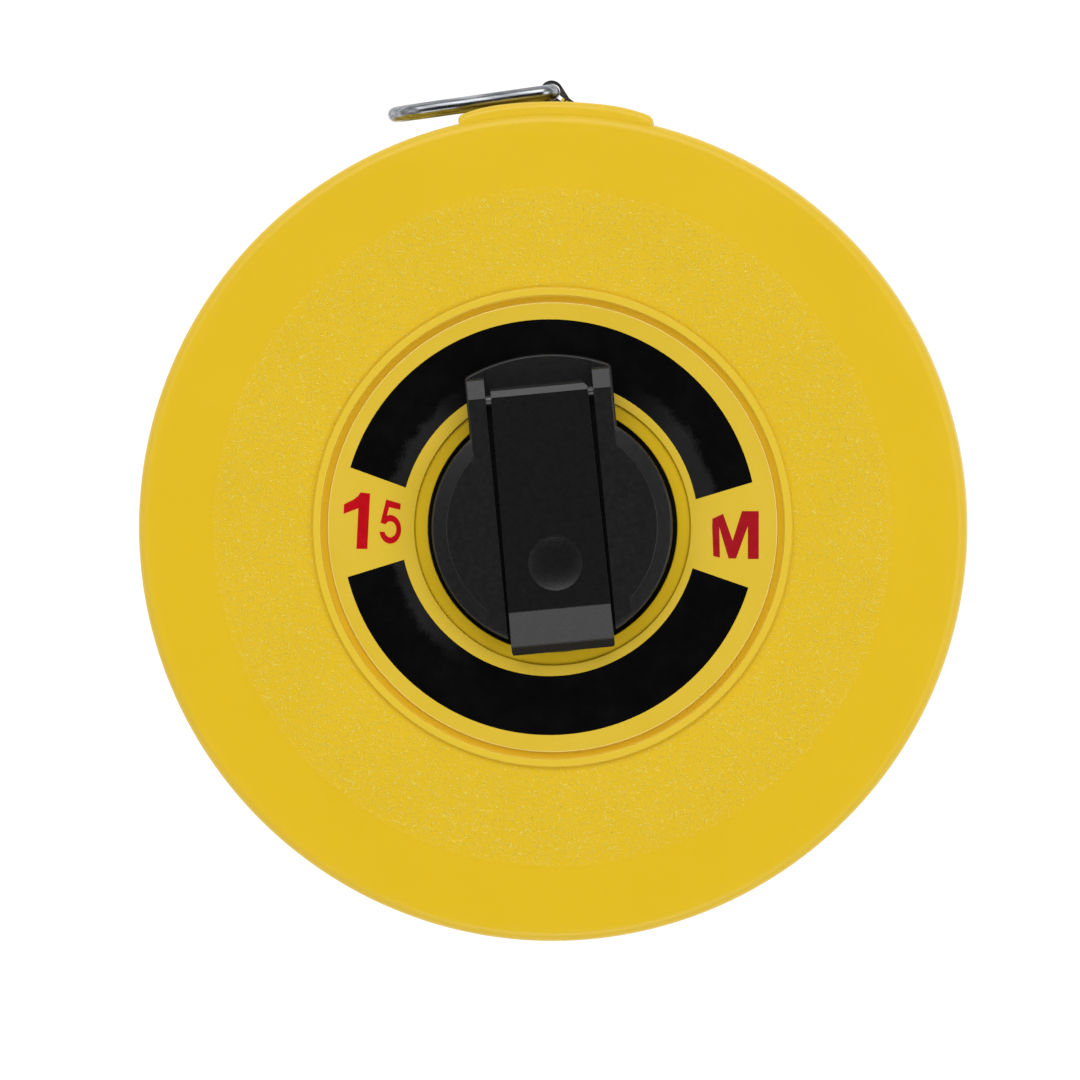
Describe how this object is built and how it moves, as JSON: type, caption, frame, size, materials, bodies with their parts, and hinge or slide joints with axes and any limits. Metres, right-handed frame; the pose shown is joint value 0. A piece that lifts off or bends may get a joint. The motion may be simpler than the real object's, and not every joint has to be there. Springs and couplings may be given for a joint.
{
  "type": "closed long tape reel",
  "caption": "Round closed plastic reel for a fibreglass measuring tape, with a folding crank lever on its face and a hinged wire ring at the tape's end in the rim.",
  "frame": {"origin": "where the spindle axis meets the flat back of the reel, at the centre of its flat rear disc", "axes": "+Z along the spindle axis, out of the crank side; +Y towards the mouth in the rim; +X to the right seen from the crank side"},
  "size_m": [0.112, 0.1163, 0.0287],
  "materials": {
    "shell_yellow": "moulded yellow plastic, satin, with a fine leather grain on the inner ring of each face",
    "label_film": "glossy printed sticker film",
    "crank_black": "moulded black plastic, satin",
    "spool_white": "plain moulded plastic",
    "tape_film": "coated glass-fibre tape, yellow with printed graduations",
    "fastener_steel": "zinc-plated steel",
    "clip_steel": "nickel-plated sheet steel",
    "ring_chrome": "polished chrome-plated wire"
  },
  "bodies": {
    "housing": {"front_shell": "shell_yellow", "rear_shell": "shell_yellow", "front_label": "label_film", "rear_label": "label_film", "case_screw_1": "fastener_steel", "case_screw_2": "fastener_steel", "case_screw_3": "fastener_steel"},
    "crank": {"crank_hub": "crank_black", "hinge_pin": "fastener_steel", "spool_drum": "spool_white", "spool_front_flange": "crank_black", "tape_coil": "tape_film", "tape_anchor_pin": "fastener_steel", "hub_screw_1": "fastener_steel", "hub_screw_2": "fastener_steel"},
    "lever": {"crank_lever": "crank_black", "knob_stud": "crank_black", "knob_screw": "fastener_steel"},
    "knob": {"crank_knob": "crank_black"},
    "tape_end": {"tape_lead": "tape_film", "end_clip": "clip_steel", "clip_rivet_1": "clip_steel", "clip_rivet_2": "clip_steel"},
    "ring": {"pull_ring": "ring_chrome"}
  },
  "joints": [
    {"name": "crank_spin", "type": "hinge", "parent": "housing", "child": "crank", "pos_m": [0, 0, 0.012], "axis": [0, 0, 1], "continuous": true},
    {"name": "lever_fold", "type": "hinge", "parent": "crank", "child": "lever", "pos_m": [-0.00167, 0.01767, 0.02625], "axis": [-0.9956, -0.0941, 0], "range_deg": [0, 180]},
    {"name": "knob_spin", "type": "hinge", "parent": "lever", "child": "knob", "pos_m": [0.00046, -0.00485, 0.021], "axis": [0, 0, 1], "continuous": true},
    {"name": "tape_pull", "type": "slide", "parent": "housing", "child": "tape_end", "axis": [-0.8154, 0.5789, 0], "range_m": [0, 0.025]},
    {"name": "ring_flip", "type": "hinge", "parent": "tape_end", "child": "ring", "pos_m": [-0.00023, 0.05878, 0.01165], "axis": [0, 0, -1], "range_deg": [0, 160]}
  ]
}
